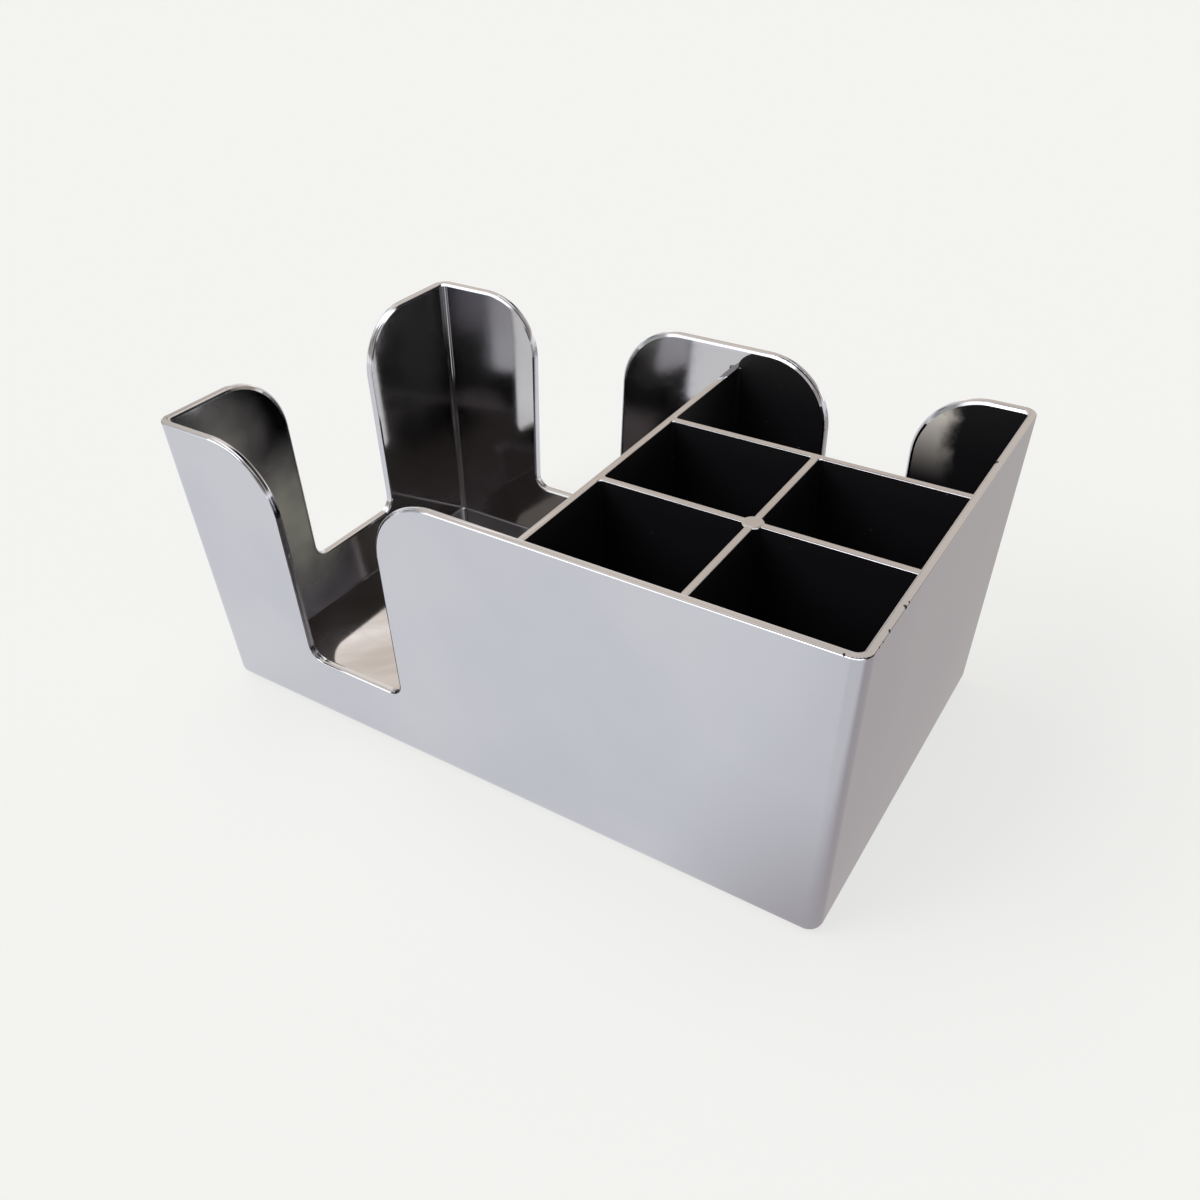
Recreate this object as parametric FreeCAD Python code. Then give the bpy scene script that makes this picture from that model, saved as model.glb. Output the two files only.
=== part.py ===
import FreeCAD, Part
import math
import os

# Bar caddy: a drafted, chrome-plated tray with a napkin bay, four cells and a straw trough.
# Millimetres. +X runs along the long side, +Y from the near side to the far side, +Z is up.
# The origin is below the middle of the tray, on the surface that the feet stand on.

# Outer form of the tray
rim_length = 240.0
rim_depth = 148.0
tray_height = 105.0
end_lean = 6.0
side_lean = 6.4
wall = 2.4
floor = 2.6
inner_corner_radius = 2.2
base_edge_radius = 3.6
inner_floor_radius = 0.8
rim_edge_radius = 0.8

# Finger cut-outs in the walls
cut_sill = 25.0
cut_corner_radius = 5.0
cut_flare = 1.2
shoulder_radius = 24.0
napkin_cut_width = 39.0
end_cut_width = 43.0
trough_cut_width = 28.0

# Partitions, which stand on the floor and stop below the rim
rim_drop = 7.4
partition_top = 2.2
partition_foot = 3.0
partition_edge_radius = 0.5
napkin_bay_length = 125.8
trough_width = 40.4
pad_diameter = 6.4
pad_depth = 8.0

# Feet, pressed into shallow round recesses in the underside
foot_diameter = 12.0
foot_height = 1.8
foot_recess = 0.6
foot_edge_radius = 0.5
foot_inset = 15.0
foot_clearance = 0.1

# Overrun of every cutter past the face that it cuts
overrun = 5.0

# Share of the rim's edge radius within which a face counts as made by a cutter
ribbon_tolerance_share = 0.05

corner_radius = inner_corner_radius + wall
partition_height = tray_height - rim_drop
stand_height = foot_height - foot_recess
half_length = rim_length / 2
half_depth = rim_depth / 2


def vec(x, y, z):
    return FreeCAD.Vector(x, y, z)


def half_length_at(z, inset=0.0):
    """Half the tray's length at height z above its underside, less an inset."""
    return half_length - end_lean * (1 - z / tray_height) - inset


def half_depth_at(z, inset=0.0):
    """Half the tray's depth at height z above its underside, less an inset."""
    return half_depth - side_lean * (1 - z / tray_height) - inset


def rounded_wire(corners, radii):
    """Closed wire through the corners, with a tangent arc of the given radius at each."""
    starts = []
    ends = []
    middles = []
    count = len(corners)
    for i, corner in enumerate(corners):
        to_last = (corners[i - 1] - corner).normalize()
        to_next = (corners[(i + 1) % count] - corner).normalize()
        half_angle = to_last.getAngle(to_next) / 2
        reach = radii[i] / math.tan(half_angle)
        bisector = (to_last + to_next).normalize()
        centre = corner + bisector * (radii[i] / math.sin(half_angle))
        starts.append(corner + to_last * reach)
        ends.append(corner + to_next * reach)
        middles.append(centre - bisector * radii[i])
    edges = []
    for i in range(count):
        if radii[i] > 0:
            edges.append(Part.Arc(starts[i], middles[i], ends[i]).toShape())
        edges.append(Part.LineSegment(ends[i], starts[(i + 1) % count]).toShape())
    return Part.Wire(edges)


def drafted_block(bottom, top, inset, radius):
    """Solid between two heights with flat leaning sides, drawn in by the inset, and round corners."""
    rings = []
    for z in (bottom, top):
        x = half_length_at(z, inset)
        y = half_depth_at(z, inset)
        rings.append([vec(-x, -y, z), vec(x, -y, z), vec(x, y, z), vec(-x, y, z)])
    low, high = rings
    outlines = [low[::-1], high]
    for i in range(len(low)):
        outlines.append([low[i - 1], low[i], high[i], high[i - 1]])
    faces = [Part.Face(Part.makePolygon(points + points[:1])) for points in outlines]
    solid = Part.Solid(Part.Shell(faces))
    upright = [edge for edge in solid.Edges if edge.Vertexes[0].Z != edge.Vertexes[1].Z]
    return solid.makeFillet(radius, upright)


def round_base(solid, bottom, radius):
    """The solid with the edges of its bottom face rounded."""
    edges = [edge for edge in solid.Edges if edge.BoundBox.ZMax < bottom + radius]
    return solid.makeFillet(radius, edges)


def cavity(top):
    """Space inside the walls, from the floor up to the given height."""
    return round_base(drafted_block(floor, top, wall, inner_corner_radius), floor, inner_floor_radius)


# Places that the cut-outs and partitions share
inner_length_floor = half_length_at(floor, wall)
inner_depth_floor = half_depth_at(floor, wall)
inner_length_top = half_length_at(partition_height, wall)
divider_x = -inner_length_floor + napkin_bay_length + partition_foot / 2
trough_wall_y = inner_depth_floor - trough_width - partition_foot / 2
napkin_middle_x = (-inner_length_top + divider_x - partition_top / 2) / 2
cell_middle_x = (inner_length_top + divider_x + partition_top / 2) / 2
cell_middle_y = (-inner_depth_floor + trough_wall_y - partition_foot / 2) / 2


def cut_corners(middle, width, half_wall):
    """Corners and radii of one U-shaped cut-out, as (along the wall, height) pairs.

    Its shoulders are rounded as far as the straight part of the wall beside it reaches.
    """
    half = width / 2
    beside = half_wall - corner_radius - abs(middle) - half - cut_flare
    shoulder = min(shoulder_radius, beside)
    corners = [
        (middle - half - cut_flare, tray_height),
        (middle - half, cut_sill),
        (middle + half, cut_sill),
        (middle + half + cut_flare, tray_height),
    ]
    return corners, [shoulder, cut_corner_radius, cut_corner_radius, shoulder]


def rim_cutter(cuts, low, high, start, end, along_x):
    """Cutter for one stretch of wall: all above the rim, dipping into its cut-outs.

    The outline runs from low to high along the wall and is swept across it from start to end.
    """
    above = tray_height + overrun + overrun
    points = [(low, above), (low, tray_height)]
    radii = [0, 0]
    for middle, width in cuts:
        corners, rounds = cut_corners(middle, width, half_length if along_x else half_depth)
        points += corners
        radii += rounds
    points += [(high, tray_height), (high, above)]
    radii += [0, 0]
    if along_x:
        wire = rounded_wire([vec(a, start, z) for a, z in points], radii)
        return Part.Face(wire).extrude(vec(0, end - start, 0))
    wire = rounded_wire([vec(start, a, z) for a, z in points], radii)
    return Part.Face(wire).extrude(vec(end - start, 0, 0))


def rim_cutters():
    """The three cutters that leave the rim and its cut-outs: near side, far side and left end."""
    far_x = half_length + overrun + overrun
    far_y = half_depth + overrun + overrun
    corner_x = -half_length + corner_radius + overrun
    napkin_cut = (napkin_middle_x, napkin_cut_width)
    trough_cut = (cell_middle_x, trough_cut_width)
    end_cut = (0, end_cut_width)
    return [
        rim_cutter([napkin_cut], corner_x, far_x, -far_y, 0, True),
        rim_cutter([napkin_cut, trough_cut], corner_x, far_x, 0, far_y, True),
        rim_cutter([end_cut], -far_y, far_y, -far_x, corner_x, False),
    ]


def point_on(face):
    """A point on the face: the middle of its largest facet."""
    points, facets = face.tessellate(rim_edge_radius)

    def facet_area(facet):
        a, b, c = (points[i] for i in facet)
        return (b - a).cross(c - a).Length

    largest = max(facets, key=facet_area)
    return sum((points[i] for i in largest), vec(0, 0, 0)) / len(largest)


def ribbon_edges(shell, cutters):
    """Edges between the walls and the narrow ribbon of rim and cut-out faces."""
    tolerance = rim_edge_radius * ribbon_tolerance_share
    ribbon = []
    for face in shell.Faces:
        spot = Part.Vertex(point_on(face))
        if min(spot.distToShape(cutter)[0] for cutter in cutters) < tolerance:
            ribbon.append(face)
    edges = []
    for edge in shell.Edges:
        beside = shell.ancestorsOfType(edge, Part.Face)
        on_ribbon = [any(face.isSame(other) for other in ribbon) for face in beside]
        if any(on_ribbon) and not all(on_ribbon):
            edges.append(edge)
    return edges


def foot_places():
    """Names and centres of the four feet."""
    x = half_length_at(0, foot_inset)
    y = half_depth_at(0, foot_inset)
    return {
        "foot_near_left": vec(-x, -y, 0),
        "foot_near_right": vec(x, -y, 0),
        "foot_far_left": vec(-x, y, 0),
        "foot_far_right": vec(x, y, 0),
    }


def make_tray_shell():
    """Walls and floor in one thickness, with cut-outs, rounded rim edges and foot recesses."""
    top = tray_height + overrun
    block = round_base(drafted_block(0, top, 0, corner_radius), 0, base_edge_radius)
    cutters = rim_cutters()
    shell = block.cut(cavity(top + overrun)).cut(cutters).removeSplitter()
    shell = shell.makeFillet(rim_edge_radius, ribbon_edges(shell, cutters))
    recess_radius = foot_diameter / 2 + foot_clearance
    recesses = [
        Part.makeCylinder(recess_radius, foot_recess + overrun, place - vec(0, 0, overrun))
        for place in foot_places().values()
    ]
    return shell.cut(recesses)


def partition(start, end):
    """Wall between two floor points along X or Y: tapered upwards, with softened top edges."""
    along = end - start
    across = vec(0, 0, 1).cross(along).normalize()
    foot = across * (partition_foot / 2)
    crown = across * (partition_top / 2)
    low = start + vec(0, 0, floor)
    high = start + vec(0, 0, partition_height)
    section = Part.makePolygon([low - foot, low + foot, high + crown, high - crown, low - foot])
    slab = Part.Face(section).extrude(along)
    long_edges = [
        edge for edge in slab.Edges
        if edge.BoundBox.ZMin > partition_height - partition_edge_radius
        and edge.Length > along.Length - overrun
    ]
    return slab.makeFillet(partition_edge_radius, long_edges)


def make_napkin_divider():
    """Cross wall that closes the napkin bay, from the near wall to the far wall."""
    reach = half_depth + overrun
    slab = partition(vec(divider_x, -reach, 0), vec(divider_x, reach, 0))
    return slab.common(cavity(tray_height))


def make_trough_wall(divider):
    """Long wall between the cells and the straw trough."""
    reach = half_length + overrun
    slab = partition(vec(divider_x, trough_wall_y, 0), vec(reach, trough_wall_y, 0))
    return slab.common(cavity(tray_height)).cut(divider)


def make_cell_cross(divider, trough_wall):
    """Two crossing walls that part the four cells, with the round pad on their crossing."""
    reach_x = half_length + overrun
    reach_y = half_depth + overrun
    long_wall = partition(vec(divider_x, cell_middle_y, 0), vec(reach_x, cell_middle_y, 0))
    short_wall = partition(vec(cell_middle_x, -reach_y, 0), vec(cell_middle_x, trough_wall_y, 0))
    pad_base = vec(cell_middle_x, cell_middle_y, partition_height - pad_depth)
    pad = Part.makeCylinder(pad_diameter / 2, pad_depth, pad_base)
    pad = pad.makeFillet(partition_edge_radius, [
        edge for edge in pad.Edges if edge.BoundBox.ZMin > partition_height - partition_edge_radius
    ])
    cross = long_wall.fuse([short_wall, pad]).common(cavity(tray_height))
    return cross.cut([divider, trough_wall]).removeSplitter()


def make_foot(place):
    """Round non-slip foot with a softened tread edge, seated in its recess."""
    foot = Part.makeCylinder(foot_diameter / 2, foot_height, place - vec(0, 0, stand_height))
    tread = [edge for edge in foot.Edges if edge.BoundBox.ZMax < foot_edge_radius - stand_height]
    return foot.makeFillet(foot_edge_radius, tread)


def main():
    divider = make_napkin_divider()
    trough_wall = make_trough_wall(divider)
    nodes = {
        "tray_shell": make_tray_shell(),
        "napkin_divider": divider,
        "trough_wall": trough_wall,
        "cell_cross": make_cell_cross(divider, trough_wall),
    }
    for name, place in foot_places().items():
        nodes[name] = make_foot(place)
    os.makedirs("parts", exist_ok=True)
    for name, shape in nodes.items():
        solid = shape.Solids[0].translated(vec(0, 0, stand_height))
        box = solid.BoundBox
        print(name, len(shape.Solids), solid.isValid(), round(solid.Volume), box)
        solid.exportStep("parts/" + name + ".step")


main()
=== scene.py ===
"""Looks of the bar caddy: a chrome-plated tray, its partitions, the bare black cells and the rubber feet.

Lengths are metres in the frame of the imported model: +X runs along the long side, +Y from the near side
to the far side, +Z is up, and z = 0 is the surface that the feet stand on.
"""

import logging
import math
from collections.abc import Mapping, Sequence
from dataclasses import dataclass
from enum import Enum
from functools import reduce

import bmesh
import bpy
from mathutils import Euler, Matrix, Vector


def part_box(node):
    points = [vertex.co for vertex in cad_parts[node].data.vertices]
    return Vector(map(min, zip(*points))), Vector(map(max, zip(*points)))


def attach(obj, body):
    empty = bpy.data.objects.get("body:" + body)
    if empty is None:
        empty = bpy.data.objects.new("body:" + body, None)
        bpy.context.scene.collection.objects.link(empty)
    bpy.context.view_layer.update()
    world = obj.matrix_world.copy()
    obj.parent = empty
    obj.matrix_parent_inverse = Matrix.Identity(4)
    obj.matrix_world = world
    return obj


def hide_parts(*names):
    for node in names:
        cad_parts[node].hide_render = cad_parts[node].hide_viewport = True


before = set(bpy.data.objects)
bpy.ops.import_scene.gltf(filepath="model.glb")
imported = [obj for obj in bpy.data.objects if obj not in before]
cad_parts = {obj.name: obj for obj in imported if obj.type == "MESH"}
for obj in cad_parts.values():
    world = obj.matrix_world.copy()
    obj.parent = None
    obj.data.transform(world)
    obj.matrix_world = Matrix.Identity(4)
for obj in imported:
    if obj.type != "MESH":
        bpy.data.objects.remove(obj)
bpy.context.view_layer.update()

MM = 0.001
BODY = "root"
LOG = logging.getLogger("bar_caddy")

Colour = tuple[float, float, float]
Point = tuple[float, float, float]


def mm(x: float, y: float, z: float) -> Point:
    """A point given in millimetres."""
    return x * MM, y * MM, z * MM


def linked(name: str, data: bpy.types.ID) -> bpy.types.Object:
    """Makes an object from a mesh, a light or a camera and puts it in the scene."""
    made = bpy.data.objects.new(name, data)
    bpy.context.scene.collection.objects.link(made)
    return made


def fill(socket: bpy.types.NodeSocket, value: "Formula | float | Sequence[float]") -> None:
    """Links a formula to an input socket, or sets a plain value there."""
    if isinstance(value, Formula):
        value.feed(socket)
    else:
        socket.default_value = value


class Slot(Enum):
    """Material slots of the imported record."""

    CHROME_PLATE = "chrome_plate"
    THIN_PLATE = "thin_plate"
    FOOT_RUBBER = "foot_rubber"


class Kind(Enum):
    """Kinds of socket that the node trees take in or give out."""

    NUMBER = "NodeSocketFloat"
    COUNT = "NodeSocketInt"
    VECTOR = "NodeSocketVector"
    MATERIAL = "NodeSocketMaterial"
    GEOMETRY = "NodeSocketGeometry"


class Run(Enum):
    """Direction that a partition runs in, as its turn about the upright axis."""

    ALONG_X = 0.0
    ALONG_Y = math.pi / 2


@dataclass(frozen=True)
class TrayForm:
    """Sizes and places that the pieces share.

    The inner half length and half depth are those at the height of the partition crowns.
    """

    inner_length: float
    inner_depth: float
    base: float
    floor: float
    crown: float
    rim: float
    divider_x: float
    trough_y: float
    foot_thickness: float
    crown_thickness: float = 2.2 * MM
    end_slope: float = 6.0 / 105.0
    side_slope: float = 6.4 / 105.0

    @classmethod
    def from_frame(cls) -> "TrayForm":
        """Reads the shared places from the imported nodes.

        Returns:
            The form of this tray.
        """
        tray_low, tray_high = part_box("tray_shell")
        divider_low, divider_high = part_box("napkin_divider")
        trough_low, trough_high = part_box("trough_wall")
        return cls(
            inner_length=trough_high.x,
            inner_depth=divider_high.y,
            base=tray_low.z,
            floor=divider_low.z,
            crown=divider_high.z,
            rim=tray_high.z,
            divider_x=(divider_low.x + divider_high.x) / 2,
            trough_y=(trough_low.y + trough_high.y) / 2,
            foot_thickness=divider_high.x - divider_low.x,
        )

    @property
    def partition_height(self) -> float:
        """Height of the partitions above the floor."""
        return self.crown - self.floor

    @property
    def taper(self) -> float:
        """Slope of a partition's faces, which lean in towards its crown."""
        return (self.foot_thickness - self.crown_thickness) / 2 / self.partition_height

    @property
    def floor_half_length(self) -> float:
        """Inner half length of the tray at its floor."""
        return self.inner_length - self.end_slope * self.partition_height

    @property
    def floor_half_depth(self) -> float:
        """Inner half depth of the tray at its floor."""
        return self.inner_depth - self.side_slope * self.partition_height

    @property
    def bay_x(self) -> float:
        """Middle of the napkin bay, where the near and far walls are cut out."""
        return (self.divider_x - self.crown_thickness / 2 - self.inner_length) / 2

    @property
    def cell_x(self) -> float:
        """Middle of the wall that parts the cells crosswise."""
        return (self.inner_length + self.divider_x + self.crown_thickness / 2) / 2

    @property
    def cell_y(self) -> float:
        """Middle of the wall that parts the cells lengthwise."""
        return (self.trough_y - self.foot_thickness / 2 - self.floor_half_depth) / 2


class Formula:
    """A value that changes over a mesh or a surface, wired up as math nodes."""

    def __init__(self, tree: bpy.types.NodeTree, socket: bpy.types.NodeSocket) -> None:
        """Wraps one output socket.

        Args:
            tree: The tree that the socket belongs to.
            socket: The output that holds the value.
        """
        self.tree = tree
        self.socket = socket

    def feed(self, target: bpy.types.NodeSocket) -> None:
        """Links the value to an input socket."""
        self.tree.links.new(self.socket, target)

    def _math(self, operation: str, *others: "Formula | float") -> "Formula":
        """Adds one math node.

        Args:
            operation: The math node's operation.
            others: The second and third operands, as formulas or plain numbers.

        Returns:
            The node's result.
        """
        node = self.tree.nodes.new("ShaderNodeMath")
        node.operation = operation
        for socket, value in zip(node.inputs, (self, *others)):
            fill(socket, value)
        return Formula(self.tree, node.outputs[0])

    def _vector(self, operation: str, other: "Formula | Point", output: str = "Vector") -> "Formula":
        """Adds one vector math node.

        Args:
            operation: The node's operation.
            other: The second vector.
            output: The output that holds the result.

        Returns:
            The node's result.
        """
        node = self.tree.nodes.new("ShaderNodeVectorMath")
        node.operation = operation
        for socket, value in zip(node.inputs, (self, other)):
            fill(socket, value)
        return Formula(self.tree, node.outputs[output])

    def moved(self, step: "Formula | Point") -> "Formula":
        """A place moved by a step."""
        return self._vector("ADD", step)

    def stretched(self, axes: Point) -> "Formula":
        """A vector with each of its components scaled."""
        return self._vector("MULTIPLY", axes)

    def distance(self, point: Point) -> "Formula":
        """Distance of a place from a point."""
        return self._vector("DISTANCE", point, "Value")

    def along(self, way: Point) -> "Formula":
        """How far a vector reaches along a direction."""
        return self._vector("DOT_PRODUCT", way, "Value")

    def __add__(self, other: "Formula | float") -> "Formula":
        """The sum."""
        return self._math("ADD", other)

    __radd__ = __add__

    def __sub__(self, other: "Formula | float") -> "Formula":
        """The difference."""
        return self._math("SUBTRACT", other)

    def __rsub__(self, other: float) -> "Formula":
        """The difference from a plain number."""
        return self * -1 + other

    def __mul__(self, other: "Formula | float") -> "Formula":
        """The product."""
        return self._math("MULTIPLY", other)

    __rmul__ = __mul__

    def __truediv__(self, other: "Formula | float") -> "Formula":
        """The quotient."""
        return self._math("DIVIDE", other)

    def least(self, other: "Formula | float") -> "Formula":
        """The smaller of two values."""
        return self._math("MINIMUM", other)

    def most(self, other: "Formula | float") -> "Formula":
        """The larger of two values."""
        return self._math("MAXIMUM", other)

    def root(self) -> "Formula":
        """The square root."""
        return self._math("SQRT")

    def cosine(self) -> "Formula":
        """The cosine of an angle in radians."""
        return self._math("COSINE")

    def size(self) -> "Formula":
        """The value without its sign."""
        return self._math("ABSOLUTE")

    def sign(self) -> "Formula":
        """One with the value's sign."""
        return self._math("SIGN")

    def above(self, edge: "Formula | float") -> "Formula":
        """One where the value is above the edge, and zero elsewhere."""
        return self._math("GREATER_THAN", edge)

    def below(self, edge: "Formula | float") -> "Formula":
        """One where the value is below the edge, and zero elsewhere."""
        return self._math("LESS_THAN", edge)

    def ramp(self, low: float, high: float, start: float = 0.0, end: float = 1.0) -> "Formula":
        """Eases from one value to another.

        Args:
            low: Where the ramp starts.
            high: Where the ramp ends.
            start: The result up to the low end.
            end: The result past the high end.

        Returns:
            The eased value.
        """
        node = self.tree.nodes.new("ShaderNodeMapRange")
        node.interpolation_type = "SMOOTHSTEP"
        self.feed(node.inputs["Value"])
        for label, value in (("From Min", low), ("From Max", high), ("To Min", start), ("To Max", end)):
            node.inputs[label].default_value = value
        return Formula(self.tree, node.outputs[0])

    def fillet(self, radius: "Formula | float") -> "Formula":
        """How far a round of this radius stands off a face, at a distance from its edge.

        Args:
            radius: The round's radius.

        Returns:
            The radius at distance zero, falling along a quarter circle to zero at the radius.
        """
        reach = (radius - self).most(0.0)
        return radius - (radius * radius - reach * reach).most(0.0).root()


class NamedTree:
    """A node tree with named inputs and outputs."""

    def __init__(
        self, name: str, kind: str, inputs: Mapping[str, Kind], outputs: Mapping[str, Kind]
    ) -> None:
        """Makes the tree and its sockets.

        Args:
            name: The tree's name.
            kind: The tree's type.
            inputs: The inputs' names and kinds.
            outputs: The outputs' names and kinds.
        """
        self.tree = bpy.data.node_groups.new(name, kind)
        self.keys: dict[str, str] = {}
        for label, form in inputs.items():
            socket = self.tree.interface.new_socket(name=label, in_out="INPUT", socket_type=form.value)
            self.keys[label] = socket.identifier
        for label, form in outputs.items():
            self.tree.interface.new_socket(name=label, in_out="OUTPUT", socket_type=form.value)
        self.source = self.tree.nodes.new("NodeGroupInput")
        self.sink = self.tree.nodes.new("NodeGroupOutput")

    def value(self, label: str) -> Formula:
        """One of the tree's inputs."""
        return Formula(self.tree, self.source.outputs[label])

    def give(self, label: str, result: Formula) -> None:
        """Links a result to one of the tree's outputs."""
        result.feed(self.sink.inputs[label])

    def node(self, kind: str, **links: "Formula | float | Sequence[float]") -> bpy.types.Node:
        """Adds a node and fills its inputs.

        Args:
            kind: The node's type.
            links: Values or formulas by input name, with underscores for spaces.

        Returns:
            The new node.
        """
        made = self.tree.nodes.new(kind)
        for label, value in links.items():
            fill(made.inputs[label.replace("_", " ")], value)
        return made

    def out(self, node: bpy.types.Node, label: str | int = 0) -> Formula:
        """One output of a node, as a formula."""
        return Formula(self.tree, node.outputs[label])

    def axes(self, vector: Formula) -> tuple[Formula, Formula, Formula]:
        """A vector's three components."""
        node = self.node("ShaderNodeSeparateXYZ", Vector=vector)
        return self.out(node, 0), self.out(node, 1), self.out(node, 2)


class ShapeRule(NamedTree):
    """A Geometry Nodes tree that moves the points of a simple mesh by a rule."""

    def __init__(self, name: str, numbers: Sequence[str], counts: Sequence[str]) -> None:
        """Makes the tree with a material input and a geometry output.

        Args:
            name: The tree's name.
            numbers: The names of the rule's sizes.
            counts: The names of its whole numbers.
        """
        inputs = {label: Kind.NUMBER for label in numbers} | {label: Kind.COUNT for label in counts}
        inputs["Material"] = Kind.MATERIAL
        super().__init__(name, "GeometryNodeTree", inputs, {"Geometry": Kind.GEOMETRY})

    def points(self) -> tuple[Formula, Formula, Formula]:
        """The components of each point's place."""
        return self.axes(self.out(self.node("GeometryNodeInputPosition")))

    def moved(self, mesh: Formula, x: Formula, y: Formula, z: Formula) -> Formula:
        """The mesh with each point set to a new place."""
        place = self.out(self.node("ShaderNodeCombineXYZ", X=x, Y=y, Z=z))
        return self.out(self.node("GeometryNodeSetPosition", Geometry=mesh, Position=place))

    def close(self, geometry: Formula) -> None:
        """Ends the tree: instances are made real and the material is set."""
        real = self.out(self.node("GeometryNodeRealizeInstances", Geometry=geometry))
        dressed = self.node("GeometryNodeSetMaterial", Geometry=real, Material=self.value("Material"))
        self.give("Geometry", self.out(dressed))

    @staticmethod
    def spread(unit: Formula) -> Formula:
        """Spreads even steps from -0.5 to 0.5 over 0 to 1, closer together at both ends."""
        return 0.5 - ((unit + 0.5) * math.pi).cosine() * 0.5

    def mesh(self, name: str, values: Mapping[str, object]) -> bpy.types.Mesh:
        """Runs the tree once.

        Args:
            name: The new mesh's name.
            values: A value for each input.

        Returns:
            The result as a plain mesh.
        """
        carrier = linked(name, bpy.data.meshes.new(name + "_seed"))
        modifier = carrier.modifiers.new(name, "NODES")
        modifier.node_group = self.tree
        for label, value in values.items():
            modifier[self.keys[label]] = value
        graph = bpy.context.evaluated_depsgraph_get()
        made = bpy.data.meshes.new_from_object(carrier.evaluated_get(graph))
        made.name = name
        made.materials.clear()
        made.materials.append(values["Material"])
        made.polygons.foreach_set("material_index", [0] * len(made.polygons))
        bpy.data.objects.remove(carrier)
        return made


class PartitionRule(ShapeRule):
    """A tapered wall with a rounded crown, whose foot and ends flare into what they meet."""

    def __init__(self) -> None:
        """Builds the tree: a block whose half thickness follows the fillets."""
        numbers = (
            "Length", "Height", "Foot", "Crown", "Start Slope", "End Slope", "Start Sink", "End Sink",
            "Floor Sink", "Wall Fillet", "Floor Fillet", "Crown Radius",
        )
        super().__init__("partition_wall", numbers, ("Stations Along", "Stations Up"))
        block = self.node("GeometryNodeMeshCube")
        self.value("Stations Along").feed(block.inputs["Vertices X"])
        self.value("Stations Up").feed(block.inputs["Vertices Z"])
        x, y, z = self.points()
        height = self.value("Height")
        up = self.spread(z) * (height + self.value("Floor Sink")) - self.value("Floor Sink")
        start = self.value("Start Slope") * up * -1
        end = self.value("Length") + self.value("End Slope") * up
        low = start - self.value("Start Sink")
        along = low + self.spread(x) * (end + self.value("End Sink") - low)
        gap = (along - start).least(end - along).most(0.0)
        rise = up.most(0.0)
        half = (self.value("Foot") + (self.value("Crown") - self.value("Foot")) * (rise / height)) / 2
        flare = gap.fillet(self.value("Wall Fillet")).most(rise.fillet(self.value("Floor Fillet")))
        crown = (height - up).fillet(self.value("Crown Radius"))
        across = y.sign() * (half + flare - crown)
        self.close(self.moved(self.out(block), along, across, up))


class PostRule(ShapeRule):
    """Round posts on a grid of places, each with a rounded upper edge."""

    def __init__(self) -> None:
        """Builds the tree: a cylinder drawn in along its upper edge, set on the grid."""
        numbers = ("Radius", "Depth", "Edge Radius", "Spread X", "Spread Y")
        super().__init__("round_posts", numbers, ("Sides", "Rings", "Columns", "Rows"))
        drum = self.node(
            "GeometryNodeMeshCylinder", Vertices=self.value("Sides"), Side_Segments=self.value("Rings"),
            Radius=1.0, Depth=1.0,
        )
        x, y, z = self.points()
        up = self.spread(z) * self.value("Depth")
        reach = self.value("Radius") - (self.value("Depth") - up).fillet(self.value("Edge Radius"))
        post = self.moved(self.out(drum), x * reach, y * reach, up)
        grid = self.node(
            "GeometryNodeMeshGrid", Size_X=self.value("Spread X"), Size_Y=self.value("Spread Y"),
            Vertices_X=self.value("Columns"), Vertices_Y=self.value("Rows"),
        )
        self.close(self.out(self.node("GeometryNodeInstanceOnPoints", Points=self.out(grid), Instance=post)))


@dataclass(frozen=True)
class Patches:
    """Soft patches of noise: waves in a metre, finer layers, and the noise where they start and are full."""

    scale: float
    detail: float
    start: float
    full: float


class EffectGroup(NamedTree):
    """A shader node group that several materials share."""

    def __init__(self, name: str, inputs: Mapping[str, Kind], outputs: Sequence[str]) -> None:
        """Makes the group with a place as its first input.

        Args:
            name: The group's name.
            inputs: Inputs besides the place on the object.
            outputs: Names of the masks and values that it gives out.
        """
        super().__init__(
            name,
            "ShaderNodeTree",
            {"Place": Kind.VECTOR, **inputs},
            {label: Kind.NUMBER for label in outputs},
        )

    def noise(self, scale: float, detail: float = 2.0, place: Formula | None = None) -> Formula:
        """Smooth noise between zero and one.

        Args:
            scale: Waves in a metre.
            detail: How many finer layers it has.
            place: Where the noise is read, by default the group's place.

        Returns:
            The noise.
        """
        place = place or self.value("Place")
        return self.out(self.node("ShaderNodeTexNoise", Vector=place, Scale=scale, Detail=detail), "Fac")

    def patches(self, spec: Patches, place: Formula | None = None, least: float = 0.0) -> Formula:
        """Soft patches, between a least value and one.

        Args:
            spec: Their size and strength.
            place: Where their noise is read, by default the group's place.
            least: The value between them.

        Returns:
            The patches.
        """
        return self.noise(spec.scale, spec.detail, place).ramp(spec.start, spec.full, least, 1.0)

    def wander(self, reach: float, scale: float = 260.0) -> Formula:
        """A ragged shift of up to a reach either way, with its waves in a metre."""
        return (self.noise(scale, 3.0) - 0.5) * (2 * reach)


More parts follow.
